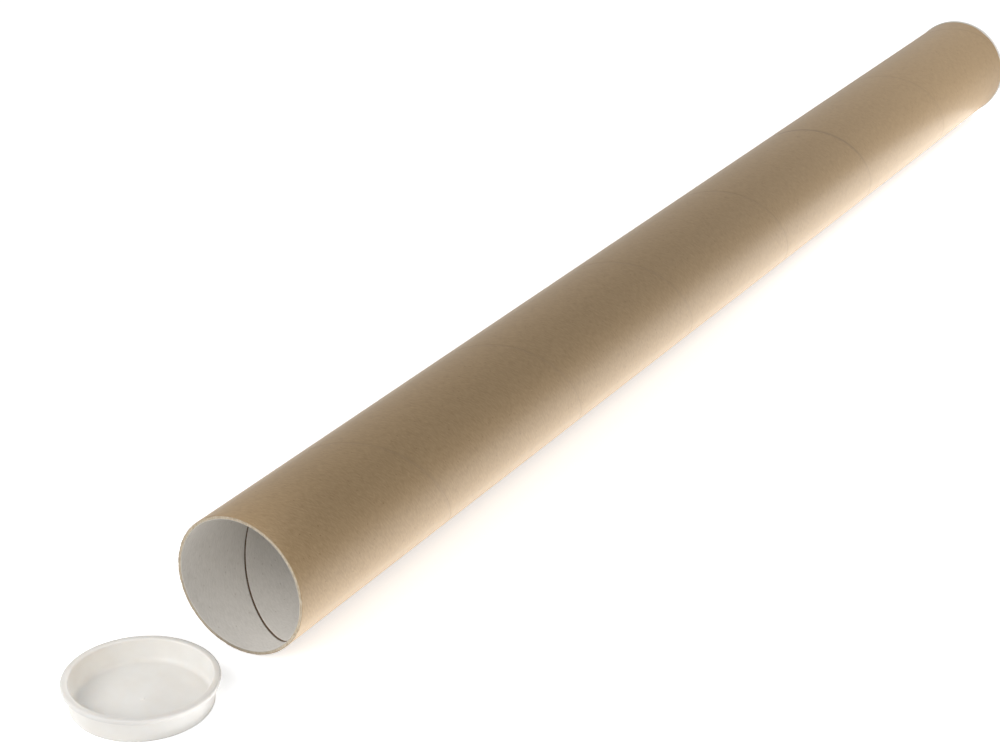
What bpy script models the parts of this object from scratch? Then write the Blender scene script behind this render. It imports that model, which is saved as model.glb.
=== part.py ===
"""A spirally wound cardboard mailing tube lying on its side, with two moulded plug caps.

One cap is pressed into the far end. The other is taken off and lies mouth up on the ground before the open end.
The tube runs along X, the ground is z = 0, and the origin is under the middle of the whole group.
"""

from math import ceil, cos, pi, radians, sin, tan

import bmesh
import bpy
from mathutils import Matrix, Vector

# Tube
BORE_RADIUS = 0.038
WALL = 0.002
TUBE_LENGTH = 1.035

# Winding: every ply advances by one pitch in a turn, and its edges meet in a narrow butt gap
PITCH = 0.152
LINER_PLY = 0.00045
LINER_GAP = 0.0014
LINER_GAP_PLACE = 0.0992  # from the open end to the gap's centre, along the top of the tube
COVER_PLY = 0.00025
COVER_GAP = 0.0008
COVER_GAP_PLACE = 0.1012

# Plug caps
PLUG_CLEARANCE = 0.0003  # plug to bore, and flange to the tube's cut edge
CAP_HEIGHT = 0.0156
CAP_FLOOR = 0.0026
PLUG_WALL = 0.0012
PLUG_TAPER = 0.0006  # how much smaller the plug's radius is at its foot
FLANGE_PROUD = 0.0006  # flange beyond the tube's outer face
FLANGE_THICKNESS = 0.0028
FLANGE_EDGE = 0.001
FOOT_EDGE = 0.002
INNER_FILLET = 0.003

# Where the loose cap lies
LOOSE_CAP_GAP = 0.0245  # from the open end to the edge of the cap
LOOSE_CAP_ASIDE = 0.015

# Facets
TUBE_STEPS = 56
CAP_STEPS = 64
FILLET_STEPS = 3
SMOOTH_BELOW = radians(35)
WELD_WITHIN = 0.00001

TUBE_RADIUS = BORE_RADIUS + WALL
FLANGE_RADIUS = TUBE_RADIUS + FLANGE_PROUD
PLUG_RADIUS = BORE_RADIUS - PLUG_CLEARANCE
AXIS_HEIGHT = FLANGE_RADIUS
LOOSE_CAP_X = -LOOSE_CAP_GAP - FLANGE_RADIUS

# The whole group's extent, measured from the open end's centre
NEAREST_X = LOOSE_CAP_X - FLANGE_RADIUS
FARTHEST_X = TUBE_LENGTH + PLUG_CLEARANCE + FLANGE_THICKNESS
LEFT_Y = max(FLANGE_RADIUS, LOOSE_CAP_ASIDE + FLANGE_RADIUS)
RIGHT_Y = min(-FLANGE_RADIUS, LOOSE_CAP_ASIDE - FLANGE_RADIUS)
OPEN_END = Vector((-(NEAREST_X + FARTHEST_X) / 2, -(LEFT_Y + RIGHT_Y) / 2, AXIS_HEIGHT))

# Turns a shape made along Z so that it runs along X
ALONG_X = Matrix(((0, 0, 1), (1, 0, 0), (0, 1, 0))).to_4x4()


def clear_scene():
    for obj in list(bpy.data.objects):
        bpy.data.objects.remove(obj, do_unlink=True)
    for data in (bpy.data.meshes, bpy.data.materials):
        for block in list(data):
            data.remove(block)


def material(name, colour, roughness, subsurface=0.0):
    made = bpy.data.materials.new(name)
    made.use_nodes = True
    shader = made.node_tree.nodes["Principled BSDF"]
    shader.inputs["Base Color"].default_value = (*colour, 1.0)
    shader.inputs["Roughness"].default_value = roughness
    shader.inputs["Metallic"].default_value = 0.0
    shader.inputs["Subsurface Weight"].default_value = subsurface
    made.diffuse_color = (*colour, 1.0)
    return made


def profile_mesh(name, chains):
    """A wire mesh in the XZ plane from chains of (radius, height) points."""
    mesh = bpy.data.meshes.new(name)
    points, edges = [], []
    for chain in chains:
        edges += [(len(points) + i, len(points) + i + 1) for i in range(len(chain) - 1)]
        points += [(radius, 0, height) for radius, height in chain]
    mesh.from_pydata(points, edges, [])
    return mesh


def screw(obj, steps, turns=1, pitch=0.0):
    modifier = obj.modifiers.new("Turn", "SCREW")
    modifier.axis = "Z"
    modifier.angle = 2 * pi
    modifier.screw_offset = pitch
    modifier.iterations = turns
    modifier.steps = modifier.render_steps = steps
    modifier.use_merge_vertices = pitch == 0
    modifier.merge_threshold = WELD_WITHIN
    modifier.use_smooth_shade = True
    return modifier


def weld(obj):
    modifier = obj.modifiers.new("Weld", "WELD")
    modifier.merge_threshold = WELD_WITHIN


def taken_from(obj, name):
    """The object's shape after its modifiers, as a mesh of its own. The object is removed."""
    graph = bpy.context.evaluated_depsgraph_get()
    mesh = bpy.data.meshes.new_from_object(obj.evaluated_get(graph))
    mesh.name = name
    bpy.data.objects.remove(obj, do_unlink=True)
    return mesh


def ply_profile(radius, ply, gap, gap_place, inward):
    """One pitch of a ply's face: a wide band and the butt gap where its edges meet."""
    start = (gap_place - PITCH / 4 + gap / 2) % PITCH - 2 * PITCH
    floor = radius - ply if inward else radius + ply
    flank = min(ply, gap / 3)
    chain = [
        (radius, start),
        (radius, start + PITCH - gap),
        (floor, start + PITCH - gap + flank),
        (floor, start + PITCH - flank),
        (radius, start + PITCH),
    ]
    return chain[::-1] if inward else chain


def wound_tube():
    """A blank wound longer than the tube, cut square at both ends, where the rims close it."""
    blank = bpy.data.objects.new(
        "wound_blank",
        profile_mesh(
            "wound_blank",
            [
                ply_profile(TUBE_RADIUS, COVER_PLY, COVER_GAP, COVER_GAP_PLACE, True),
                ply_profile(BORE_RADIUS, LINER_PLY, LINER_GAP, LINER_GAP_PLACE, False),
            ],
        ),
    )
    bpy.context.scene.collection.objects.link(blank)
    screw(blank, TUBE_STEPS, turns=ceil(TUBE_LENGTH / PITCH) + 3, pitch=PITCH)
    weld(blank)
    mesh = taken_from(blank, "tube")

    shape = bmesh.new()
    shape.from_mesh(mesh)
    for height, outwards in ((0, -1), (TUBE_LENGTH, 1)):
        cut = bmesh.ops.bisect_plane(
            shape,
            geom=shape.verts[:] + shape.edges[:] + shape.faces[:],
            plane_co=(0, 0, height),
            plane_no=(0, 0, outwards),
            clear_outer=True,
        )
        rims = [item for item in cut["geom_cut"] if isinstance(item, bmesh.types.BMEdge)]
        bmesh.ops.bridge_loops(shape, edges=rims)
    bmesh.ops.recalc_face_normals(shape, faces=shape.faces)
    shape.to_mesh(mesh)
    shape.free()
    mesh.shade_smooth()
    mesh.set_sharp_from_angle(angle=SMOOTH_BELOW)
    return mesh


def rounded(corners):
    """A chain through (radius, height, fillet) corners, each rounded by its fillet."""
    chain = []
    for i, (radius, height, fillet) in enumerate(corners):
        here = Vector((radius, height))
        if not fillet:
            chain.append(tuple(here))
            continue
        back = (Vector(corners[i - 1][:2]) - here).normalized()
        onward = (Vector(corners[i + 1][:2]) - here).normalized()
        half = back.angle(onward) / 2
        reach = fillet / tan(half)
        centre = here + (back + onward).normalized() * (fillet / sin(half))
        start, end = here + back * reach - centre, here + onward * reach - centre
        sweep = start.angle_signed(end)
        for step in range(FILLET_STEPS + 1):
            turned = sweep * step / FILLET_STEPS
            chain.append(
                (
                    centre.x + start.x * cos(turned) + start.y * sin(turned),
                    centre.y - start.x * sin(turned) + start.y * cos(turned),
                )
            )
    return chain


def cap_mesh():
    """The plug cap with its mouth up and its foot at z = 0: floor, inner wall, flange, outer wall."""
    under_flange = CAP_HEIGHT - FLANGE_THICKNESS
    foot_radius = PLUG_RADIUS - PLUG_TAPER
    turned = bpy.data.objects.new(
        "cap_profile",
        profile_mesh(
            "cap_profile",
            [
                rounded(
                    [
                        (0, CAP_FLOOR, 0),
                        (foot_radius - PLUG_WALL, CAP_FLOOR, INNER_FILLET),
                        (PLUG_RADIUS - PLUG_WALL, CAP_HEIGHT, FLANGE_EDGE),
                        (FLANGE_RADIUS, CAP_HEIGHT, FLANGE_EDGE),
                        (FLANGE_RADIUS, under_flange, FLANGE_EDGE),
                        (PLUG_RADIUS, under_flange, 0),
                        (foot_radius, 0, FOOT_EDGE),
                        (0, 0, 0),
                    ]
                )
            ],
        ),
    )
    bpy.context.scene.collection.objects.link(turned)
    screw(turned, CAP_STEPS)
    mesh = taken_from(turned, "plug_cap")
    mesh.shade_smooth()
    mesh.set_sharp_from_angle(angle=SMOOTH_BELOW)
    return mesh


def place(name, mesh, finish, collection, group, matrix):
    obj = bpy.data.objects.new(name, mesh)
    collection.objects.link(obj)
    obj.data.materials.clear()
    obj.data.materials.append(finish)
    obj.parent = group
    obj.matrix_local = matrix
    return obj


def main():
    clear_scene()
    collection = bpy.data.collections.new("mailing_tube")
    bpy.context.scene.collection.children.link(collection)
    open_end = bpy.data.objects.new("open_end", None)
    open_end.location = OPEN_END
    collection.objects.link(open_end)

    board = material("wound_board", (0.36, 0.25, 0.15), 0.6)
    loose_plastic = material("loose_cap_plastic", (0.84, 0.82, 0.80), 0.35, 0.1)
    far_plastic = material("far_cap_plastic", (0.84, 0.82, 0.80), 0.35, 0.1)

    place("tube", wound_tube(), board, collection, open_end, ALONG_X)
    cap = cap_mesh()
    place(
        "near_cap",
        cap,
        loose_plastic,
        collection,
        open_end,
        Matrix.Translation((LOOSE_CAP_X, LOOSE_CAP_ASIDE, -AXIS_HEIGHT)),
    )
    plug_foot = TUBE_LENGTH + PLUG_CLEARANCE + FLANGE_THICKNESS - CAP_HEIGHT
    place(
        "far_cap",
        cap.copy(),
        far_plastic,
        collection,
        open_end,
        Matrix.Translation((plug_foot, 0, 0)) @ ALONG_X,
    )


main()
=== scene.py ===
"""A spirally wound cardboard mailing tube and its two plug caps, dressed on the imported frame.

The tube lies along X with its open end towards the camera. One cap lies mouth up before that end, and the
other closes the far end. Every length is in metres, and the ground is z = 0.
"""

import logging
from collections.abc import Sequence
from dataclasses import dataclass
from enum import Enum
from math import atan, atan2, ceil, cos, floor, hypot, pi, radians, sin, tan
from typing import NamedTuple

import bmesh
import bpy
from mathutils import Matrix, Vector, noise


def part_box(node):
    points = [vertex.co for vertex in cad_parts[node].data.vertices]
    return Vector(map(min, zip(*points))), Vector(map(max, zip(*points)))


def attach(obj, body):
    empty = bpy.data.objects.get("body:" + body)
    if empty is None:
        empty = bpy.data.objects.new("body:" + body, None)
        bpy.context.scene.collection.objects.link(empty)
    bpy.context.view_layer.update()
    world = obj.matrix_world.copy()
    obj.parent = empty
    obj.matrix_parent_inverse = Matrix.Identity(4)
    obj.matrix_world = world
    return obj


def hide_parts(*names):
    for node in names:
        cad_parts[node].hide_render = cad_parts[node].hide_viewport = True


Colour = tuple[float, float, float]
Place = tuple[float, float, float]
Corner = tuple[float, float, float]
Point = tuple[float, float]
Span = tuple[float, float]
Socket = bpy.types.NodeSocket
Ring = list[bmesh.types.BMVert]

LOG = logging.getLogger("mailing_tube")
PAPER_MAP = "paper"
SMOOTH_BELOW = radians(35)
WHITE: Colour = (1.0, 1.0, 1.0)
NOISE_MIDDLE: Span = (0.3, 0.7)  # where most of a noise's values lie
FULL_TURN = 2 * pi
PAST_THE_TURN = 3 * pi
ANGLE_PLACES = 5  # decimals of an angle that tell two places round the tube apart

# The curve of a screen's colours: straight up to the knee, and a power above it
SCREEN_KNEE = 0.04045
SCREEN_SLOPE = 12.92
SCREEN_OFFSET = 0.055
SCREEN_POWER = 2.4

# Turns a shape made along Z so that it runs along X
ALONG_X = Matrix(((0, 0, 1), (1, 0, 0), (0, 1, 0))).to_4x4()

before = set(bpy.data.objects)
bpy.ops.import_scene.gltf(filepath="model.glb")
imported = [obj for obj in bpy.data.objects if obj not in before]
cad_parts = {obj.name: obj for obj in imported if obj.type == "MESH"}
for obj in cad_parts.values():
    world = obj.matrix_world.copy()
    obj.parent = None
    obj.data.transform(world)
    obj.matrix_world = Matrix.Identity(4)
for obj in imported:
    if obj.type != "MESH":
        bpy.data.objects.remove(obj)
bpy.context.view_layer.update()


class Face(Enum):
    """The finishes on the tube's own faces, by material slot."""

    COVER = 0
    LINER = 1
    CUT = 2
    COVER_BED = 3
    LINER_BED = 4


class Lie(Enum):
    """How a plug cap lies: mouth up on the ground, or pressed into the tube's far end."""

    ON_THE_GROUND = "mouth up"
    IN_THE_TUBE = "pressed in"


class Streaks(NamedTuple):
    """A noise: features in a metre, finer layers, how it is drawn together, and its turn in degrees."""

    scale: float
    detail: float
    squeeze: Place | None = None
    turned: float = 0.0


class Across(NamedTuple):
    """A point of a ply's section: its place across the strip, its radius, and the face that starts there."""

    place: float
    radius: float
    face: Face


def linear(red: int, green: int, blue: int) -> Colour:
    """Turns a colour as a screen shows it into the shader's linear one.

    Args:
        red: Red, 0 to 255.
        green: Green, 0 to 255.
        blue: Blue, 0 to 255.

    Returns:
        The same colour with linear channels.
    """
    shares = [channel / 255 for channel in (red, green, blue)]
    return tuple(
        share / SCREEN_SLOPE
        if share <= SCREEN_KNEE
        else ((share + SCREEN_OFFSET) / (1 + SCREEN_OFFSET)) ** SCREEN_POWER
        for share in shares
    )


def round_the_tube(x: float, radius: float, angle: float) -> Place:
    """Gives the point at a place along the tube, a radius, and an angle from +Y over the top."""
    return (x, radius * cos(angle), radius * sin(angle))


class Wiring:
    """Adds nodes to a node tree and joins them."""

    columns = 8
    column_width = 220
    row_height = 260
    mix_colours = (6, 7)
    mixed_colour = 2

    def __init__(self, tree: bpy.types.NodeTree) -> None:
        """Takes over the tree of a material, a world or a node group."""
        self.tree = tree
        self.count = 0

    def feed(self, socket: Socket, value: object) -> None:
        """Sets an input, or links it.

        Args:
            socket: The input.
            value: Its value, or the output that feeds it.
        """
        if isinstance(value, bpy.types.NodeSocket):
            self.tree.links.new(value, socket)
        else:
            socket.default_value = value

    def add(self, kind: str, inputs: dict | None = None, **settings: object) -> bpy.types.Node:
        """Adds one node.

        Args:
            kind: The node's type without the prefix ShaderNode.
            inputs: Socket name or number to a value, or to an output socket that feeds it.
            **settings: Attributes of the node.

        Returns:
            The node.
        """
        prefix = "" if kind.startswith("NodeGroup") else "ShaderNode"
        node = self.tree.nodes.new(prefix + kind)
        row, column = divmod(self.count, self.columns)
        node.location = (self.column_width * column, -self.row_height * row)
        self.count += 1
        for name, value in settings.items():
            setattr(node, name, value)
        for socket, value in (inputs or {}).items():
            self.feed(node.inputs[socket], value)
        return node

    def math(self, operation: str, *values: object) -> Socket:
        """Adds a Math node and gives its result."""
        return self.add("Math", dict(enumerate(values)), operation=operation).outputs[0]

    def apart(self, value: Socket, mark: float) -> Socket:
        """Gives how far a value lies from a mark."""
        return self.math("ABSOLUTE", self.math("SUBTRACT", value, mark))

    def weighed(self, first: Socket, second: Socket, share: float) -> Socket:
        """Adds two values up, the first by its share and the second by the rest."""
        rest = self.math("MULTIPLY", second, 1 - share)
        return self.math("ADD", self.math("MULTIPLY", first, share), rest)

    def own_place(self) -> Socket:
        """Gives the place in the piece's own axes."""
        return self.add("TexCoord").outputs["Object"]

    def coordinate(self, place: Socket, axis: int) -> Socket:
        """Gives one coordinate of a place, 0 for the first."""
        return self.add("SeparateXYZ", {0: place}).outputs[axis]

    def scaled(self, vector: Socket, factors: Sequence[float]) -> Socket:
        """Multiplies a vector by a factor for each axis."""
        return self.add("VectorMath", {0: vector, 1: tuple(factors)}, operation="MULTIPLY").outputs[0]

    def reach(self, place: Socket, axes: Sequence[float]) -> Socket:
        """Gives how far a place lies from the origin, along the axes whose factor is 1."""
        return self.add("VectorMath", {0: self.scaled(place, axes)}, operation="LENGTH").outputs["Value"]

    def streaks(self, place: Socket, kind: Streaks) -> Socket:
        """Adds a noise that runs from 0 to 1.

        Args:
            place: Where it is read.
            kind: What it looks like.

        Returns:
            The noise's value.
        """
        if kind.turned:
            turn = {"Vector": place, "Angle": radians(kind.turned)}
            place = self.add("VectorRotate", turn, rotation_type="Z_AXIS").outputs[0]
        if kind.squeeze:
            place = self.scaled(place, kind.squeeze)
        inputs = {"Vector": place, "Scale": kind.scale, "Detail": kind.detail}
        return self.add("TexNoise", inputs).outputs["Fac"]

    def remap(self, value: Socket, span: Span, onto: Span = (0.0, 1.0)) -> Socket:
        """Maps a value's span onto another, held at its ends."""
        inputs = dict(enumerate((value, *span, *onto)))
        return self.add("MapRange", inputs, clamp=True).outputs[0]

    def blend(self, share: Socket, first: object, second: object) -> Socket:
        """Blends two colours.

        Args:
            share: How much of the second colour shows.
            first: The first colour, or its socket.
            second: The second colour, or its socket.

        Returns:
            The blended colour.
        """
        inputs = {0: share}
        for number, colour in zip(self.mix_colours, (first, second)):
            inputs[number] = (*colour, 1.0) if isinstance(colour, tuple) else colour
        node = self.add("Mix", inputs, data_type="RGBA", blend_type="MIX", clamp_factor=True)
        return node.outputs[self.mixed_colour]


class Surface:
    """A new material, whose shader is fed input by input."""

    def __init__(self, name: str, colour: Colour) -> None:
        """Starts the material.

        Args:
            name: Its name.
            colour: Its plain colour, for views that show no nodes.
        """
        self.material = bpy.data.materials.new(name)
        self.material.use_nodes = True
        self.material.diffuse_color = (*colour, 1.0)
        self.shader = self.material.node_tree.nodes["Principled BSDF"]
        self.wiring = Wiring(self.material.node_tree)

    def feed(self, **inputs: object) -> None:
        """Sets or links inputs of the shader, named with _ for each space."""
        for title, value in inputs.items():
            self.wiring.feed(self.shader.inputs[title.replace("_", " ")], value)

    def grain(self, height: Socket, depth: float) -> None:
        """Lays a fine relief of a depth on the surface."""
        bump = self.wiring.add("Bump", {"Height": height, "Distance": depth, "Strength": 1.0})
        self.feed(Normal=bump.outputs[0])


class Pattern:
    """A node group that is built once and then placed in every material that needs it."""

    name = ""
    inputs: tuple[tuple[str, str, float], ...] = ()
    outputs: tuple[str, ...] = ()

    @classmethod
    def group(cls) -> bpy.types.NodeTree:
        """Gives the group, and builds it on the first call.

        Returns:
            The node group.
        """
        if cls.name in bpy.data.node_groups:
            return bpy.data.node_groups[cls.name]
        tree = bpy.data.node_groups.new(cls.name, "ShaderNodeTree")
        for title, kind, value in cls.inputs:
            socket = tree.interface.new_socket(title, in_out="INPUT", socket_type=kind)
            if kind == "NodeSocketFloat":
                socket.default_value = value
        for title in cls.outputs:
            tree.interface.new_socket(title, in_out="OUTPUT", socket_type="NodeSocketFloat")
        wiring = Wiring(tree)
        given = wiring.add("NodeGroupInput").outputs
        wiring.add("NodeGroupOutput", cls.draw(wiring, given))
        return tree

    @classmethod
    def draw(cls, wiring: Wiring, given: bpy.types.NodeOutputs) -> dict[str, Socket]:
        """Builds the pattern itself, in each kind of pattern its own way.

        Args:
            wiring: The group's wiring.
            given: The group's inputs.

        Returns:
            The socket that feeds each output.
        """
        raise NotImplementedError

    @classmethod
    def place(cls, wiring: Wiring, values: dict[str, object]) -> bpy.types.NodeOutputs:
        """Places the group in a material, with a value or a socket for each input."""
        return wiring.add("Group", values, node_tree=cls.group()).outputs


class PaperGrain(Pattern):
    """The fibres, clouds and specks of paper that is read along and across its strip."""

    name = "paper_grain"
    inputs = (
        ("Place", "NodeSocketVector", 0.0),
        ("Fineness", "NodeSocketFloat", 1.0),
        ("Speck Share", "NodeSocketFloat", 0.1),
    )
    outputs = ("Clouds", "Fibres", "Specks", "Relief")
    clouds = Streaks(170, 6)
    fibres = Streaks(260, 4, (1, 4, 1))
    crossing_fibres = Streaks(380, 3, (1, 3, 1), 38)
    fibre_share = 0.6
    fuzz = Streaks(2600, 2)
    fibre_relief_share = 0.7
    speck_scale = 330
    speck_squeeze = (1, 1.6, 1)
    speck_edge = (0.1, 0.24)

    @classmethod
    def draw(cls, wiring: Wiring, given: bpy.types.NodeOutputs) -> dict[str, Socket]:
        """Builds clouds, two crossing sets of fibres, and specks.

        Args:
            wiring: The group's wiring.
            given: The place on the paper, the grain's fineness and the share of cells with a speck.

        Returns:
            The clouds, the fibres, the specks and the height of the relief.
        """
        finer = {0: given["Place"], "Scale": given["Fineness"]}
        sized = wiring.add("VectorMath", finer, operation="SCALE").outputs[0]
        crossing = wiring.streaks(sized, cls.crossing_fibres)
        fibres = wiring.weighed(wiring.streaks(sized, cls.fibres), crossing, cls.fibre_share)
        spot = wiring.scaled(sized, cls.speck_squeeze)
        cells = wiring.add("TexVoronoi", {"Vector": spot, "Scale": cls.speck_scale}).outputs
        drawn = wiring.add("SeparateColor", {0: cells["Color"]}).outputs[0]
        chosen = wiring.math("LESS_THAN", drawn, given["Speck Share"])
        dots = wiring.remap(cells["Distance"], cls.speck_edge, (1, 0))
        return {
            "Clouds": wiring.streaks(sized, cls.clouds),
            "Fibres": fibres,
            "Specks": wiring.math("MULTIPLY", chosen, dots),
            "Relief": wiring.weighed(fibres, wiring.streaks(sized, cls.fuzz), cls.fibre_relief_share),
        }


class HandlingMarks(Pattern):
    """Faint rubs and hairline scratches that handling leaves on paper and plastic alike."""

    name = "handling_marks"
    inputs = (("Place", "NodeSocketVector", 0.0), ("Amount", "NodeSocketFloat", 0.5))
    outputs = ("Rubs", "Scratches")
    rubs = Streaks(26, 4)
    rub_edge = (0.56, 0.72)
    scratches = (Streaks(34, 1, (1, 28, 1), 24), Streaks(34, 1, (1, 34, 1), -52))
    scratch_edge = (0.71, 0.76)

    @classmethod
    def draw(cls, wiring: Wiring, given: bpy.types.NodeOutputs) -> dict[str, Socket]:
        """Builds soft rubs and thin scratches in two directions.

        Args:
            wiring: The group's wiring.
            given: The place on the piece, and how much it was handled.

        Returns:
            The rubs and the scratches.
        """
        rubs = wiring.remap(wiring.streaks(given["Place"], cls.rubs), cls.rub_edge)
        lines = [
            wiring.remap(wiring.streaks(given["Place"], kind), cls.scratch_edge) for kind in cls.scratches
        ]
        return {
            "Rubs": wiring.math("MULTIPLY", rubs, given["Amount"]),
            "Scratches": wiring.math("MULTIPLY", wiring.math("MAXIMUM", *lines), given["Amount"]),
        }


class SeamDarkening(Pattern):
    """A darkening in and beside the cover's seam: faint all the way, and clear where the seam stands open.
    """

    name = "seam_darkening"
    inputs = (("Along", "NodeSocketFloat", 0.0), ("Aside", "NodeSocketFloat", 0.0))
    outputs = ("Darkening",)
    open_place = 0.713  # from the tube's open end to the middle of the open stretch
    open_reach = 0.031
    faint_share = 0.3
    width = 0.0024

    @classmethod
    def draw(cls, wiring: Wiring, given: bpy.types.NodeOutputs) -> dict[str, Socket]:
        """Builds a mask that fades along the tube and away from the seam.

        Args:
            wiring: The group's wiring.
            given: The place along the tube, and the distance from the seam's edge.

        Returns:
            The mask.
        """
        apart = wiring.apart(given["Along"], cls.open_place)
        stretch = wiring.remap(apart, (cls.open_reach / 2, cls.open_reach), (1, cls.faint_share))
        beside = wiring.remap(given["Aside"], (0, cls.width), (1, 0))
        return {"Darkening": wiring.math("MULTIPLY", stretch, beside)}


@dataclass(frozen=True, kw_only=True)
class PaperFinish:
    """A paper face: its colour, its grain and how it takes light."""

    name: str
    colour: Colour
    cloud_tint: Colour
    fibre_tint: Colour
    fibre_edge: Span = (0.4, 0.66)
    speck_tint: Colour
    speck_share: float = 0.1
    fineness: float = 1.0
    rubbed: float = 0.4
    rub_share: float = 0.25
    roughness: float
    roughness_spread: float = 0.08
    scratch_polish: float = 0.12
    relief: float = 0.00002
    specular: float = 0.5

    def material(self) -> bpy.types.Material:
        """Builds the finish.

        Returns:
            The material.
        """
        surface = Surface(self.name, self.colour)
        wiring = surface.wiring
        place = self.place(wiring)
        paper = {"Place": place, "Fineness": self.fineness, "Speck Share": self.speck_share}
        grain = PaperGrain.place(wiring, paper)
        marks = HandlingMarks.place(wiring, {"Place": place, "Amount": self.rubbed})
        colour = wiring.blend(wiring.remap(grain["Clouds"], NOISE_MIDDLE), self.colour, self.cloud_tint)
        colour = wiring.blend(wiring.remap(grain["Fibres"], self.fibre_edge), colour, self.fibre_tint)
        colour = wiring.blend(grain["Specks"], colour, self.speck_tint)
        colour = self.marked(wiring, colour)
        rubs = wiring.math("MULTIPLY", marks["Rubs"], self.rub_share)
        spread = (self.roughness - self.roughness_spread, self.roughness + self.roughness_spread)
        rough = wiring.remap(grain["Fibres"], NOISE_MIDDLE, spread)
        polished = wiring.math("MULTIPLY", marks["Scratches"], self.scratch_polish)
        surface.feed(
            Base_Color=wiring.blend(rubs, colour, self.fibre_tint),
            Roughness=wiring.math("SUBTRACT", rough, polished),
            Specular_IOR_Level=self.specular,
        )
        surface.grain(grain["Relief"], self.relief)
        return surface.material

    def place(self, wiring: Wiring) -> Socket:
        """Gives the place along and across the paper's strip."""
        return wiring.add("UVMap", uv_map=PAPER_MAP).outputs[0]

    def marked(self, wiring: Wiring, colour: Socket) -> Socket:
        """Gives the colour unchanged, because plain paper has no marks of its own."""
        return colour


@dataclass(frozen=True, kw_only=True)
class SeamedFinish(PaperFinish):
    """The wound cover, which is darker beside its seam."""

    seam_edges: Span
    seam_dark_tint: Colour
    seam_dark_share: float

    def marked(self, wiring: Wiring, colour: Socket) -> Socket:
        """Darkens the paper beside the seam.

        Args:
            wiring: The material's wiring.
            colour: The colour so far.

        Returns:
            The colour, darkened beside the seam.
        """
        across = wiring.coordinate(self.place(wiring), 1)
        aside = wiring.math("MINIMUM", *(wiring.apart(across, edge) for edge in self.seam_edges))
        along = wiring.coordinate(wiring.own_place(), 0)
        darkening = SeamDarkening.place(wiring, {"Along": along, "Aside": aside})["Darkening"]
        return wiring.blend(wiring.math("MULTIPLY", darkening, self.seam_dark_share), colour, self.seam_dark_tint)


@dataclass(frozen=True, kw_only=True)
class SeamBedFinish(PaperFinish):
    """The board at the bottom of the cover's seam, darkened as the seam is."""

    seam_dark_tint: Colour

    def marked(self, wiring: Wiring, colour: Socket) -> Socket:
        """Darkens the bed of the seam.

        Args:
            wiring: The material's wiring.
            colour: The colour so far.

        Returns:
            The colour, darkened.
        """
        along = wiring.coordinate(wiring.own_place(), 0)
        darkening = SeamDarkening.place(wiring, {"Along": along, "Aside": 0.0})["Darkening"]
        return wiring.blend(darkening, colour, self.seam_dark_tint)


@dataclass(frozen=True, kw_only=True)
class CutEdgeFinish(PaperFinish):
    """The cut face of the wound board, where the edge of every ply shows as a ring."""

    ply_radii: tuple[float, ...]
    cover_tint: Colour
    liner_tint: Colour
    ply_share: float = 0.8
    line_tint: Colour
    line_share: float = 0.7
    line_width: float = 0.00006
    line_fade: float = 0.000096  # from the line's middle to where it is gone
    wander: Streaks = Streaks(240, 2)
    wander_reach: float = 0.00006

    def place(self, wiring: Wiring) -> Socket:
        """Gives the place on the cut face, in metres from the open end's centre."""
        return wiring.own_place()

    def marked(self, wiring: Wiring, colour: Socket) -> Socket:
        """Colours the cover's and the liner's own edge, and draws the glue lines between the plies.

        Args:
            wiring: The material's wiring.
            colour: The colour so far.

        Returns:
            The colour with the rings.
        """
        place = self.place(wiring)
        sway = (-self.wander_reach, self.wander_reach)
        wander = wiring.remap(wiring.streaks(place, self.wander), NOISE_MIDDLE, sway)
        radius = wiring.math("ADD", wiring.reach(place, (0, 1, 1)), wander)
        half = self.line_width / 2
        for ply, tint, onto in (
            (self.ply_radii[0], self.cover_tint, (0, self.ply_share)),
            (self.ply_radii[-1], self.liner_tint, (self.ply_share, 0)),
        ):
            colour = wiring.blend(wiring.remap(radius, (ply - half, ply + half), onto), colour, tint)
        for ply in self.ply_radii:
            apart = wiring.apart(radius, ply)
            line = wiring.remap(apart, (half, self.line_fade), (self.line_share, 0))
            colour = wiring.blend(line, colour, self.line_tint)
        return colour


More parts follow.
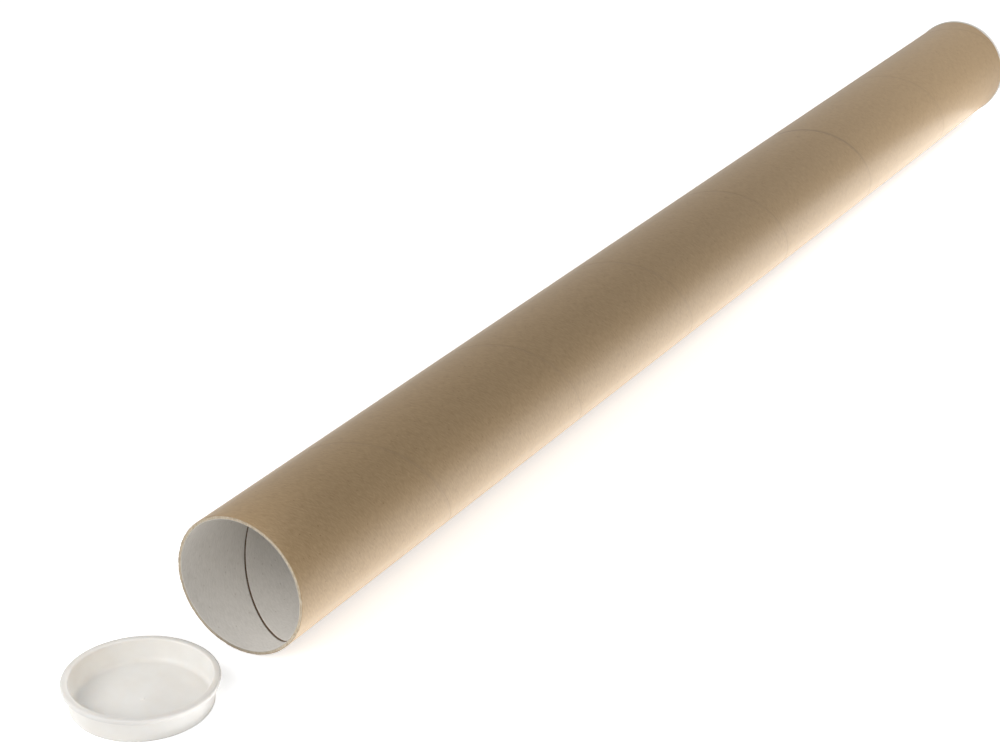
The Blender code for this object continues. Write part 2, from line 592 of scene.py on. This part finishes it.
@dataclass(frozen=True)
class PlasticFinish:
    """The satin, slightly milky polyethylene of a plug cap, whose thick lip lets less light through and is
    given a painted shade for it: a greyer colour.

    The shift moves the clouds and marks, so that no two caps have the same.
    """

    name: str
    shift: Place = (0.0, 0.0, 0.0)
    colour: Colour = linear(229, 226, 221)
    cloud_tint: Colour = linear(225, 221, 215)
    clouds: Streaks = Streaks(70, 3)
    cloud_edge: Span = (0.35, 0.7)
    # Painted shade: the lip is painted greyer, standing in for the light that its thick rim lets through
    # less.
    lip_painted_shade: Colour = linear(210, 208, 205)
    lip_shade_starts: Span = (0.0372, 0.0403)
    fine_grain: Streaks = Streaks(1500, 3)
    roughness: float = 0.48
    roughness_spread: float = 0.06
    scuffed: float = 0.6
    rub_dulling: float = 0.08
    scratch_dulling: float = 0.12
    relief: float = 0.00001
    grain_height: float = 0.6
    scratch_depth: float = 0.5
    specular: float = 0.3
    milkiness: float = 0.7
    milk_reach: Colour = (1.0, 0.9, 0.8)
    milk_depth: float = 0.005

    def material(self) -> bpy.types.Material:
        """Builds the finish.

        Returns:
            The material.
        """
        surface = Surface(self.name, self.colour)
        wiring = surface.wiring
        own = wiring.own_place()
        place = wiring.add("VectorMath", {0: own, 1: self.shift}, operation="ADD").outputs[0]
        marks = HandlingMarks.place(wiring, {"Place": place, "Amount": self.scuffed})
        clouds = wiring.remap(wiring.streaks(place, self.clouds), self.cloud_edge)
        colour = wiring.blend(clouds, self.colour, self.cloud_tint)
        # Mask of the lip's painted shade, from the plug's wall out to the flange's rim.
        lip = wiring.remap(wiring.reach(own, (1, 1, 0)), self.lip_shade_starts)
        fine = wiring.streaks(place, self.fine_grain)
        spread = (self.roughness - self.roughness_spread, self.roughness + self.roughness_spread)
        rough = wiring.remap(fine, NOISE_MIDDLE, spread)
        for marking, dulling in (("Rubs", self.rub_dulling), ("Scratches", self.scratch_dulling)):
            rough = wiring.math("ADD", rough, wiring.math("MULTIPLY", marks[marking], dulling))
        surface.feed(
            Base_Color=wiring.blend(lip, colour, self.lip_painted_shade),
            Roughness=rough,
            Specular_IOR_Level=self.specular,
            Subsurface_Weight=self.milkiness,
            Subsurface_Radius=self.milk_reach,
            Subsurface_Scale=self.milk_depth,
        )
        scratches = wiring.math("MULTIPLY", marks["Scratches"], self.scratch_depth)
        height = wiring.math("SUBTRACT", wiring.math("MULTIPLY", fine, self.grain_height), scratches)
        surface.grain(height, self.relief)
        return surface.material


@dataclass(kw_only=True)
class FramePiece:
    """A piece that stands for one node of the frame."""

    name: str
    node: str
    body: str
    slot: str

    def corners(self) -> tuple[Vector, Vector]:
        """Gives the node's lowest and highest corner."""
        low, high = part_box(self.node)
        return Vector(low), Vector(high)

    def fitted(self, mesh: bpy.types.Mesh, place: Matrix) -> bpy.types.Object:
        """Shades a mesh smooth, keeps its real edges sharp and puts it in the frame.

        Args:
            mesh: The piece's mesh.
            place: Where it goes.

        Returns:
            The piece.
        """
        mesh.shade_smooth()
        mesh.set_sharp_from_angle(angle=SMOOTH_BELOW)
        piece = bpy.data.objects.new(self.name, mesh)
        piece.matrix_world = place
        bpy.context.scene.collection.objects.link(piece)
        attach(piece, self.body)
        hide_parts(self.node)
        return piece


@dataclass(frozen=True, kw_only=True)
class Ply:
    """A ply whose face shows: a strip wound round the tube, with a butt gap between its edges.

    The gap's place is measured from the open end along the top. Its depth is below 0 towards the axis.
    """

    radius: float
    pitch: float
    gap: float
    gap_place: float
    gap_depth: float
    lip_share: float = 0.12  # how far the rounded lip goes down, of the gap's depth
    cut_back: float
    is_cover: bool
    face: Face
    bed: Face

    @property
    def lean(self) -> float:
        """How far the strip leans from a plain ring, as an angle."""
        return atan(self.pitch / (FULL_TURN * self.radius))

    @property
    def first_place(self) -> float:
        """Where the strip starts along the tube, at the angle 0 and before the open end."""
        return (self.gap_place - self.pitch / 4 + self.gap / 2) % self.pitch - 2 * self.pitch

    @property
    def edges(self) -> Span:
        """Where the strip's two edges lie across it, on the paper's map."""
        start, lean = self.first_place, self.lean
        return start * cos(lean), (start + self.pitch - self.gap) * cos(lean)

    def on_map(self, x: float, angle: float) -> Point:
        """Gives the place along and across the strip, on the paper's map.

        Args:
            x: The place along the tube.
            angle: The angle round the tube, which goes on rising turn after turn.

        Returns:
            The place on the map.
        """
        aside, lean = self.radius * angle, self.lean
        return aside * cos(lean) + x * sin(lean), x * cos(lean) - aside * sin(lean)

    def gap_passes(self, x: float, angle: float) -> bool:
        """Tells whether the gap passes a place on the face.

        Args:
            x: The place along the tube.
            angle: Its angle, from +Y over the top, which is a quarter turn on.

        Returns:
            True inside the gap.
        """
        apart = x - self.gap_place - self.pitch * (angle / FULL_TURN - 1 / 4)
        apart -= self.pitch * floor(apart / self.pitch + 1 / 2)
        return abs(apart) < self.gap / 2

    def section(self, firm_edge: float, columns: int) -> list[Across]:
        """Gives one pitch of the face, from the end of its gap to the end of the next.

        Args:
            firm_edge: How far beside each lip the facets stay narrow.
            columns: The facets across the rest of the strip.

        Returns:
            The points of the section.
        """
        flank = min(abs(self.gap_depth), self.gap / 3)
        lip = flank / 3
        lip_radius = self.radius + self.gap_depth * self.lip_share
        bed_radius = self.radius + self.gap_depth
        band = self.pitch - self.gap
        firm = lip + firm_edge
        places = [firm + (band - 2 * firm) * step / columns for step in range(columns + 1)]
        return [
            Across(0.0, lip_radius, self.face),
            *(Across(place, self.radius, self.face) for place in (lip, *places, band - lip)),
            Across(band, lip_radius, self.bed),
            Across(band + flank, bed_radius, self.bed),
            Across(self.pitch - flank, bed_radius, self.bed),
            Across(self.pitch, lip_radius, self.face),
        ]


@dataclass(kw_only=True)
class TubeWall(FramePiece):
    """The wound board: a kraft cover, a grey liner and the cut edges that show the plies between."""

    bore_radius: float = 0.038
    wall: float = 0.002
    length: float = 1.035
    pitch: float = 0.152
    cover_ply: float = 0.00025
    cover_gap: float = 0.0004
    cover_gap_depth: float = 0.00006
    cover_gap_place: float = 0.1012
    cover_cut_back: float = 0.0012
    liner_ply: float = 0.00045
    liner_gap: float = 0.0014
    liner_gap_place: float = 0.0992
    liner_cut_back: float = 0.0002
    firm_edge: float = 0.0006
    core_plies: int = 3

    # The cut edge: each rounding is a row of (distance from the face, depth below the cut)
    cover_rounding: tuple[Point, ...] = ((0.00003, 0.00008), (0.00011, 0.00003))
    liner_rounding: tuple[Point, ...] = ((0.00016, 0.00003), (0.00004, 0.00008))
    glue_line: float = 0.00007
    glue_lip: float = 0.00002
    ply_wander: float = 0.00004
    ply_wander_scale: float = 310
    cut_fuzz: float = 0.00009
    cut_fuzz_scale: float = 900
    notch_step: float = 0.00001

    # Chips of the cover along the cut, with their share on each ring from the cover inwards
    chip_depth: float = 0.001
    chip_spacing: float = 0.0028
    chip_shares: tuple[float, ...] = (1.0, 0.45, 0.15, 0.15)
    small_chip_share: float = 0.25
    small_chip_scale: float = 3

    # Facets
    steps: int = 192
    spare_turns: int = 3
    band_columns: int = 8
    cut_steps: int = 480

    @property
    def radius(self) -> float:
        """The tube's outer radius."""
        return self.bore_radius + self.wall

    @property
    def cover(self) -> Ply:
        """The kraft ply outside."""
        return Ply(
            radius=self.radius,
            pitch=self.pitch,
            gap=self.cover_gap,
            gap_place=self.cover_gap_place,
            gap_depth=-self.cover_gap_depth,
            cut_back=self.cover_cut_back,
            is_cover=True,
            face=Face.COVER,
            bed=Face.COVER_BED,
        )

    @property
    def liner(self) -> Ply:
        """The grey ply inside."""
        return Ply(
            radius=self.bore_radius,
            pitch=self.pitch,
            gap=self.liner_gap,
            gap_place=self.liner_gap_place,
            gap_depth=self.liner_ply,
            cut_back=self.liner_cut_back,
            is_cover=False,
            face=Face.LINER,
            bed=Face.LINER_BED,
        )

    @property
    def ply_radii(self) -> tuple[float, ...]:
        """The radii where one ply meets the next, from the outside in."""
        outer, inner = self.radius - self.cover_ply, self.bore_radius + self.liner_ply
        return tuple(outer + (inner - outer) * step / self.core_plies for step in range(self.core_plies + 1))

    def wind(self, shape: bmesh.types.BMesh, ply: Ply) -> None:
        """Winds one ply's face as a strip that overlaps both ends.

        Args:
            shape: The mesh that it is added to.
            ply: The ply.
        """
        paper_map = shape.loops.layers.uv.get(PAPER_MAP) or shape.loops.layers.uv.new(PAPER_MAP)
        points = ply.section(self.firm_edge, self.band_columns)
        turns = ceil(self.length / self.pitch) + self.spare_turns
        grid: list[Ring] = []
        for row in range(self.steps * (turns + 1) + 1):
            angle = FULL_TURN * row / self.steps
            start = ply.first_place + self.pitch * row / self.steps
            spots = [round_the_tube(start + point.place, point.radius, angle) for point in points[:-1]]
            grid.append([shape.verts.new(spot) for spot in spots])
        for row in range(self.steps * turns):
            here = [*grid[row], grid[row + self.steps][0]]
            onward = [*grid[row + 1], grid[row + 1 + self.steps][0]]
            for column, point in enumerate(points[:-1]):
                corners = [here[column], here[column + 1], onward[column + 1], onward[column]]
                face = shape.faces.new(corners if ply.is_cover else corners[::-1])
                face.material_index = point.face.value
                for loop in face.loops:
                    turned = (row + (loop.vert in corners[2:])) / self.steps
                    edge = column + (loop.vert in corners[1:3])
                    x = ply.first_place + points[edge].place + self.pitch * turned
                    loop[paper_map].uv = ply.on_map(x, FULL_TURN * turned)

    def cut_section(self) -> list[Point]:
        """Gives the section of the cut edge, from the cover to the liner.

        Returns:
            Its points, as (radius, depth below the plane of the cut).
        """
        points = [(self.radius - inside, depth) for inside, depth in self.cover_rounding]
        for number, ply in enumerate(self.ply_radii):
            half = self.glue_line / 2
            points += [(ply + half, self.glue_lip), (ply, self.glue_line), (ply - half, self.glue_lip)]
            if number < self.core_plies:
                step = (self.ply_radii[number + 1] - ply) / 3
                points += [(ply + step, 0.0), (ply + 2 * step, 0.0)]
        points += [(self.bore_radius + inside, depth) for inside, depth in self.liner_rounding]
        return points

    def chip(self, x: float, angle: float) -> float:
        """Gives how far the cut has chipped the cover's edge.

        Args:
            x: Where the plane of the cut is.
            angle: The angle round the tube.

        Returns:
            0 where the edge is whole, up to about 1 in the deepest chip.
        """
        spot = Vector((self.radius * cos(angle), self.radius * sin(angle), x))
        small = noise.noise(spot * self.small_chip_scale / self.chip_spacing)
        return max(0.0, noise.noise(spot / self.chip_spacing) + self.small_chip_share * small)

    def cut_ring(self, shape: bmesh.types.BMesh, number: int, x: float, side: int) -> Ring:
        """Lays one rough ring of the cut edge, with the notches where the gaps run out.

        Args:
            shape: The mesh.
            number: The ring's number, from the cover inwards.
            x: Where the plane of the cut is.
            side: 1 where the tube runs on towards +X, -1 where it runs back.

        Returns:
            The ring.
        """
        section = self.cut_section()
        radius, depth = section[number]
        chip_share = self.chip_shares[number] if number < len(self.chip_shares) else 0.0
        wanders = len(self.cover_rounding) <= number < len(section) - len(self.liner_rounding)
        cover, liner = self.cover, self.liner
        cover_notch = cover.radius + cover.gap_depth - self.notch_step * (number + 1)
        liner_notch = liner.radius + liner.gap_depth + self.notch_step * (len(section) - number)
        ring = []
        for step in range(self.cut_steps):
            angle = FULL_TURN * step / self.cut_steps
            spot = Vector((radius * cos(angle), radius * sin(angle), x))
            own_radius = radius
            if wanders:
                own_radius += noise.noise(spot * self.ply_wander_scale) * self.ply_wander
            if cover.gap_passes(x, angle):
                own_radius = min(own_radius, cover_notch)
            if liner.gap_passes(x, angle):
                own_radius = max(own_radius, liner_notch)
            fuzz = abs(noise.noise(spot * self.cut_fuzz_scale + Vector((0, 0, number)))) * self.cut_fuzz
            chipped = self.chip(x, angle) * self.chip_depth * chip_share
            below = x + side * (depth + chipped + fuzz)
            ring.append(shape.verts.new(round_the_tube(below, own_radius, angle)))
        return ring

    @staticmethod
    def angle_of(vert: bmesh.types.BMVert) -> float:
        """Gives the vertex's angle round the tube, from 0 up to a full turn."""
        return round(atan2(vert.co.z, vert.co.y) % FULL_TURN, ANGLE_PLACES) % round(FULL_TURN, ANGLE_PLACES)

    @staticmethod
    def papered(shape: bmesh.types.BMesh, face: bmesh.types.BMFace, ply: Ply) -> None:
        """Lays the paper's grain on a face beside the cut.

        Args:
            shape: The mesh.
            face: The face.
            ply: The ply that it continues.
        """
        paper_map = shape.loops.layers.uv.get(PAPER_MAP)
        middle = face.calc_center_median()
        turn = atan2(middle.z, middle.y)
        for loop in face.loops:
            spot = loop.vert.co
            beside = spot.z * cos(turn) - spot.y * sin(turn)
            loop[paper_map].uv = ply.on_map(spot.x, turn % FULL_TURN + beside / ply.radius)

    def zipped(self, shape: bmesh.types.BMesh, first: Ring, second: Ring, kind: Face) -> None:
        """Joins two rings of vertices, whose numbers may differ, by their angles round the tube.

        Args:
            shape: The mesh.
            first: One ring, by rising angle.
            second: The other ring, by rising angle.
            kind: The finish of the faces between them.
        """
        plies = {ply.face: ply for ply in (self.cover, self.liner)}
        left, right = [*first, first[0]], [*second, second[0]]
        left_angles, right_angles = (
            [*map(self.angle_of, ring), FULL_TURN, PAST_THE_TURN] for ring in (first, second)
        )
        on_left = on_right = 0
        while on_left < len(first) or on_right < len(second):
            next_left, next_right = left_angles[on_left + 1], right_angles[on_right + 1]
            corners = [left[on_left], right[on_right]]
            if next_right <= next_left:
                on_right += 1
                corners.append(right[on_right])
            if next_left <= next_right:
                on_left += 1
                corners.append(left[on_left])
            face = shape.faces.new(corners)
            face.material_index = kind.value
            if kind in plies:
                self.papered(shape, face, plies[kind])

    def trimmed(self, shape: bmesh.types.BMesh, ply: Ply, x: float, side: int) -> Ring:
        """Cuts one ply's face off short of an end.

        Args:
            shape: The mesh.
            ply: The ply.
            x: Where the plane of the end is.
            side: 1 where the tube runs on towards +X, -1 where it runs back.

        Returns:
            The vertices of the cut, by rising angle.
        """
        middle = self.bore_radius + self.wall / 2
        cut: Ring = []
        for extra, cleared in ((self.firm_edge, False), (0.0, True)):
            verts = [vert for vert in shape.verts if (hypot(*vert.co[1:]) > middle) == ply.is_cover]
            faces = {face for vert in verts for face in vert.link_faces}
            edges = {edge for vert in verts for edge in vert.link_edges}
            done = bmesh.ops.bisect_plane(
                shape,
                geom=[*verts, *edges, *faces],
                plane_co=(x + side * (ply.cut_back + extra), 0, 0),
                plane_no=(-side, 0, 0),
                clear_outer=cleared,
            )
            cut = [item for item in done["geom_cut"] if isinstance(item, bmesh.types.BMVert)]
        return sorted(cut, key=self.angle_of)

    def close(self, shape: bmesh.types.BMesh, x: float, side: int) -> None:
        """Closes one end with the rough, ringed face of the cut.

        Args:
            shape: The mesh.
            x: Where the plane of the cut is.
            side: 1 where the tube runs on towards +X, -1 where it runs back.
        """
        outer, inner = (self.trimmed(shape, ply, x, side) for ply in (self.cover, self.liner))
        between = [self.cut_ring(shape, number, x, side) for number in range(len(self.cut_section()))]
        rings = [outer, *between, inner]
        kinds = [Face.COVER, *[Face.CUT] * (len(between) - 1), Face.LINER]
        for first, second, kind in zip(rings, rings[1:], kinds):
            self.zipped(shape, first, second, kind)

    def build(self, finishes: dict[Face, PaperFinish]) -> bpy.types.Object:
        """Builds the wall and puts it in the frame.

        Args:
            finishes: The finish of each kind of face.

        Returns:
            The piece.
        """
        shape = bmesh.new()
        self.wind(shape, self.cover)
        self.wind(shape, self.liner)
        self.close(shape, 0.0, 1)
        self.close(shape, self.length, -1)
        bmesh.ops.recalc_face_normals(shape, faces=shape.faces)
        mesh = bpy.data.meshes.new(self.name)
        shape.to_mesh(mesh)
        shape.free()
        for face in Face:
            mesh.materials.append(finishes[face].material())
        low, high = self.corners()
        middle = (low + high) / 2
        return self.fitted(mesh, Matrix.Translation((low.x, middle.y, middle.z)))


@dataclass(kw_only=True)
class PlugCap(FramePiece):
    """A moulded plug: a shallow cup with a flange round its mouth, and a small gate mark on its floor."""

    lie: Lie
    finish: PlasticFinish
    height: float = 0.0156
    floor_thickness: float = 0.0026
    floor_ring_shares: tuple[float, ...] = (0.3, 0.6)
    plug_radius: float = 0.0377
    plug_wall: float = 0.0012
    plug_taper: float = 0.0006
    flange_radius: float = 0.0406
    flange_thickness: float = 0.0028
    flange_edge: float = 0.001
    flange_lower_edge: float = 0.0007
    flange_root: float = 0.0003
    foot_edge: float = 0.002
    inner_fillet: float = 0.003
    gate_radius: float = 0.0013
    gate_height: float = 0.00025
    steps: int = 192
    fillet_steps: int = 8

    def rounded(self, corners: Sequence[Corner]) -> list[Point]:
        """Rounds the corners of a chain.

        Args:
            corners: The (radius, height, fillet) corners in order.

        Returns:
            The (radius, height) points of the rounded chain.
        """
        chain: list[Point] = []
        for number, (radius, height, fillet) in enumerate(corners):
            if not fillet:
                chain.append((radius, height))
                continue
            here = Vector((radius, height))
            back = (Vector(corners[number - 1][:2]) - here).normalized()
            onward = (Vector(corners[number + 1][:2]) - here).normalized()
            half = back.angle(onward) / 2
            reach = fillet / tan(half)
            centre = here + (back + onward).normalized() * (fillet / sin(half))
            start, end = here + back * reach - centre, here + onward * reach - centre
            sweep = start.angle_signed(end)
            for step in range(self.fillet_steps + 1):
                turned = sweep * step / self.fillet_steps
                across = centre.x + start.x * cos(turned) + start.y * sin(turned)
                chain.append((across, centre.y - start.x * sin(turned) + start.y * cos(turned)))
        return chain

    def section(self) -> list[Point]:
        """Gives the section from the middle of the floor over the flange to the middle of the foot.

        Returns:
            Its (radius, height) points.
        """
        under_flange = self.height - self.flange_thickness
        foot = self.plug_radius - self.plug_taper
        floor_top = self.floor_thickness
        gate_top = floor_top + self.gate_height
        return self.rounded(
            [
                (0, gate_top, 0),
                (self.gate_radius, gate_top, self.gate_height / 3),
                (self.gate_radius, floor_top, self.gate_height / 2),
                *((foot * share, floor_top, 0) for share in self.floor_ring_shares),
                (foot - self.plug_wall, floor_top, self.inner_fillet),
                (self.plug_radius - self.plug_wall, self.height, self.flange_edge),
                (self.flange_radius, self.height, self.flange_edge),
                (self.flange_radius, under_flange, self.flange_lower_edge),
                (self.plug_radius, under_flange, self.flange_root),
                (foot, 0, self.foot_edge),
                (foot * self.floor_ring_shares[-1], 0, 0),
                (0, 0, 0),
            ]
        )

    def turned(self) -> bpy.types.Mesh:
        """Turns the section round the cap's axis.

        Returns:
            The mesh, mouth up with its foot at z = 0.
        """
        points = self.section()
        angles = [FULL_TURN * step / self.steps for step in range(self.steps)]
        shape = bmesh.new()
        top, bottom = (shape.verts.new((0, 0, height)) for _, height in (points[0], points[-1]))
        rings = [
            [shape.verts.new((radius * cos(angle), radius * sin(angle), height)) for angle in angles]
            for radius, height in points[1:-1]
        ]
        for step in range(self.steps):
            shape.faces.new((top, rings[0][step - 1], rings[0][step]))
            for first, second in zip(rings, rings[1:]):
                shape.faces.new((first[step - 1], second[step - 1], second[step], first[step]))
            shape.faces.new((rings[-1][step - 1], bottom, rings[-1][step]))
        bmesh.ops.recalc_face_normals(shape, faces=shape.faces)
        mesh = bpy.data.meshes.new(self.name)
        shape.to_mesh(mesh)
        shape.free()
        return mesh

    def matrix(self) -> Matrix:
        """Gives where the cap goes, from its node in the frame.

        Returns:
            The place of its foot's centre and the direction of its axis.
        """
        low, high = self.corners()
        middle = (low + high) / 2
        if self.lie is Lie.ON_THE_GROUND:
            return Matrix.Translation((middle.x, middle.y, low.z))
        return Matrix.Translation((low.x, middle.y, middle.z)) @ ALONG_X

    def build(self) -> bpy.types.Object:
        """Builds the cap and puts it in the frame.

        Returns:
            The piece.
        """
        mesh = self.turned()
        mesh.materials.append(self.finish.material())
        return self.fitted(mesh, self.matrix())


@dataclass(frozen=True)
class Viewpoint:
    """Where the camera stands and how it is turned, in radians: yaw from +X, pitch down, and roll."""

    place: Place = (-1.31472, -0.66846, 0.66152)
    yaw: float = 0.5356
    pitch: float = 0.4362
    roll: float = -0.0039
    lens_mm: float = 84.98
    sensor_mm: float = 36.0

    def build(self) -> bpy.types.Object:
        """Sets the camera up.

        Returns:
            The camera.
        """
        level = cos(self.pitch)
        forward = Vector((cos(self.yaw) * level, sin(self.yaw) * level, -sin(self.pitch)))
        sideways = forward.cross(Vector((0, 0, 1))).normalized()
        upright = sideways.cross(forward)
        right = sideways * cos(self.roll) - upright * sin(self.roll)
        up = upright * cos(self.roll) + sideways * sin(self.roll)
        data = bpy.data.cameras.new("camera")
        data.sensor_width = self.sensor_mm
        data.lens = self.lens_mm
        camera = bpy.data.objects.new("camera", data)
        columns = Matrix((right, up, -forward)).transposed().to_4x4()
        camera.matrix_world = Matrix.Translation(self.place) @ columns
        bpy.context.scene.collection.objects.link(camera)
        bpy.context.scene.camera = camera
        return camera


def area_lamp(name: str, size: Span, watts: float) -> bpy.types.Object:
    """Makes a rectangular soft lamp that the camera doesn't see.

    Args:
        name: Its name.
        size: Its two sides.
        watts: Its power.

    Returns:
        The lamp.
    """
    data = bpy.data.lights.new(name, "AREA")
    data.shape = "RECTANGLE"
    data.size, data.size_y = size
    data.energy = watts
    lamp = bpy.data.objects.new(name, data)
    lamp.visible_camera = False
    bpy.context.scene.collection.objects.link(lamp)
    return lamp


@dataclass(frozen=True)
class Softbox:
    """A soft lamp that looks at its aim from a direction given in degrees.

    The spread is the full angle of its light, in degrees. One with no sheen doesn't show in reflections.
    """

    name: str
    azimuth: float
    elevation: float
    distance: float
    size: Span
    watts: float
    aim: Place = (0.0, 0.0, 0.04)
    spread: float = 180.0
    sheen: bool = True

    def build(self) -> bpy.types.Object:
        """Sets the lamp up.

        Returns:
            The lamp.
        """
        lamp = area_lamp(self.name, self.size, self.watts)
        lamp.data.spread = radians(self.spread)
        azimuth, elevation = radians(self.azimuth), radians(self.elevation)
        out = Vector((cos(azimuth) * cos(elevation), sin(azimuth) * cos(elevation), sin(elevation)))
        lamp.location = Vector(self.aim) + out * self.distance
        lamp.rotation_euler = out.to_track_quat("Z", "Y").to_euler()
        lamp.visible_glossy = self.sheen
        return lamp


@dataclass(frozen=True)
class TableGlow:
    """A soft lamp laid flat on the table beside the tube, which lights it from below."""

    name: str
    middle: Point
    size: Span
    watts: float
    above_the_table: float = 0.0002

    def build(self) -> bpy.types.Object:
        """Lays the lamp down, facing up.

        Returns:
            The lamp.
        """
        lamp = area_lamp(self.name, self.size, self.watts)
        lamp.location = (*self.middle, self.above_the_table)
        lamp.rotation_euler = (pi, 0, 0)
        return lamp


@dataclass(frozen=True)
class Studio:
    """A plain white floor, a white surround and soft lamps.

    The floor's lift is a glow that the camera and reflections see, and that lights nothing else. It grows
    with the distance from the tube.
    """

    floor_size: float = 14.0
    floor_colour: Colour = (0.86, 0.86, 0.86)
    floor_roughness: float = 0.9
    lift: Span = (0.65, 1.0)
    lift_grows: Span = (0.8, 2.0)
    surround: float = 0.17
    lamps: tuple[Softbox | TableGlow, ...] = (
        Softbox("front_lamp", 180, 38, 2.6, (1.6, 1.1), 14),
        Softbox("low_front_lamp", 184, 20, 2.6, (1.6, 0.8), 22),
        Softbox("left_lamp", 135, 38, 2.6, (1.6, 1.1), 14),
        Softbox("far_lamp", 280, 50, 0.5, (0.4, 0.3), 1.4, (0.55, 0.0, 0.04), sheen=False),
        Softbox("far_end_lamp", 6, 4, 1.2, (0.3, 0.12), 0.32, (0.57, -0.0075, 0.04), 30, sheen=False),
        Softbox("cap_lamp", 330, 62, 0.3, (0.1, 0.1), 0.0065, (-0.5333, 0.0095, 0.01), 24),
        Softbox("cap_corner_lamp", 318, 46, 0.3, (0.04, 0.04), 0.003, (-0.558, 0.03, 0.004), 18),
        TableGlow("right_glow", (-0.02, -0.143), (1.16, 0.214), 1.337),
        TableGlow("left_glow", (-0.0575, 0.15), (1.285, 0.2), 0.891),
    )

    def seen_directly(self, wiring: Wiring) -> Socket:
        """Gives 1 for rays from the camera, a mirror or a window, and 0 for the rest.

        Args:
            wiring: The wiring of the floor or the world.

        Returns:
            The 0 or 1.
        """
        path = wiring.add("LightPath").outputs
        shown = wiring.math("MAXIMUM", path["Is Camera Ray"], path["Is Glossy Ray"])
        return wiring.math("MAXIMUM", shown, path["Is Transmission Ray"])

    def build_floor(self) -> bpy.types.Object:
        """Lays the floor.

        Returns:
            The floor.
        """
        half = self.floor_size / 2
        corners = [(-half, -half, 0), (half, -half, 0), (half, half, 0), (-half, half, 0)]
        mesh = bpy.data.meshes.new("floor")
        mesh.from_pydata(corners, [], [(0, 1, 2, 3)])
        surface = Surface("studio_floor", self.floor_colour)
        wiring = surface.wiring
        away = wiring.reach(wiring.own_place(), (1, 1, 0))
        lift = wiring.remap(away, self.lift_grows, self.lift)
        surface.feed(
            Base_Color=(*self.floor_colour, 1.0),
            Roughness=self.floor_roughness,
            Specular_IOR_Level=0.0,
            Emission_Color=(*WHITE, 1.0),
            Emission_Strength=wiring.math("MULTIPLY", self.seen_directly(wiring), lift),
        )
        mesh.materials.append(surface.material)
        floor_piece = bpy.data.objects.new("floor", mesh)
        bpy.context.scene.collection.objects.link(floor_piece)
        return floor_piece

    def build_surround(self) -> None:
        """Makes the world white to look at, and softer as a light."""
        world = bpy.data.worlds.new("surround")
        world.use_nodes = True
        wiring = Wiring(world.node_tree)
        background = world.node_tree.nodes["Background"]
        strength = wiring.remap(self.seen_directly(wiring), (0, 1), (self.surround, 1))
        wiring.feed(background.inputs["Strength"], strength)
        wiring.feed(background.inputs["Color"], (*WHITE, 1.0))
        bpy.context.scene.world = world

    def build(self) -> None:
        """Sets up the floor, the surround, the lamps and the view."""
        self.build_floor()
        self.build_surround()
        for lamp in self.lamps:
            lamp.build()
        bpy.context.scene.view_settings.view_transform = "Standard"


def paper_finishes(wall: TubeWall) -> dict[Face, PaperFinish]:
    """Gives the tube's finishes.

    Args:
        wall: The wall that they dress.

    Returns:
        A finish for each kind of face.
    """
    return {
        Face.COVER: SeamedFinish(
            name="kraft_cover",
            colour=linear(158, 132, 96),
            cloud_tint=linear(149, 123, 87),
            fibre_tint=linear(170, 144, 108),
            speck_tint=linear(134, 107, 74),
            roughness=0.45,
            specular=0.35,
            seam_edges=wall.cover.edges,
            # Darker in and beside the seam, most where it stands open.
            seam_dark_tint=(0.15, 0.105, 0.065),
            seam_dark_share=0.36,
        ),
        Face.LINER: PaperFinish(
            name="grey_liner",
            colour=linear(222, 218, 212),
            cloud_tint=linear(214, 210, 203),
            fibre_tint=linear(229, 225, 219),
            speck_tint=linear(202, 196, 187),
            roughness=0.6,
        ),
        Face.CUT: CutEdgeFinish(
            name="cut_edge",
            colour=linear(169, 156, 136),
            cloud_tint=linear(148, 134, 112),
            fibre_tint=linear(194, 183, 164),
            speck_tint=linear(140, 123, 100),
            roughness=0.85,
            relief=0.00006,
            ply_radii=wall.ply_radii,
            cover_tint=linear(146, 120, 88),
            liner_tint=linear(172, 167, 158),
            line_tint=linear(138, 120, 97),
        ),
        Face.COVER_BED: SeamBedFinish(
            name="cover_gap_bed",
            colour=linear(160, 135, 101),
            cloud_tint=linear(152, 127, 93),
            fibre_tint=linear(168, 143, 109),
            speck_tint=linear(140, 114, 82),
            roughness=0.6,
            # Darker at the bottom of the seam, most where it stands open.
            seam_dark_tint=(0.2, 0.14, 0.085),
        ),
        Face.LINER_BED: PaperFinish(
            name="liner_gap_bed",
            colour=linear(96, 76, 60),
            cloud_tint=linear(88, 69, 54),
            fibre_tint=linear(110, 90, 72),
            speck_tint=linear(74, 58, 44),
            roughness=0.85,
        ),
    }


def main() -> None:
    """Builds the camera, the tube, both caps and the studio, and logs the camera's place and each piece's
    faces.
    """
    logging.basicConfig(level=logging.INFO, format="%(name)s: %(message)s")
    camera = Viewpoint().build()
    LOG.info("camera at %.3f, %.3f, %.3f", *camera.location)
    wall = TubeWall(name="tube_wall", node="tube", body="tube", slot="board")
    loose_cap = PlugCap(
        name="loose_plug",
        node="near_cap",
        body="tube",
        slot="loose_cap_plastic",
        lie=Lie.ON_THE_GROUND,
        finish=PlasticFinish("loose_plug_plastic"),
    )
    far_cap = PlugCap(
        name="far_plug",
        node="far_cap",
        body="far_cap",
        slot="far_cap_plastic",
        lie=Lie.IN_THE_TUBE,
        finish=PlasticFinish("far_plug_plastic", shift=(0.31, 0.17, 0.05)),
    )
    for piece in (wall.build(paper_finishes(wall)), loose_cap.build(), far_cap.build()):
        LOG.info("%s: %d faces", piece.name, len(piece.data.polygons))
    Studio().build()


if __name__ == "__main__":
    main()
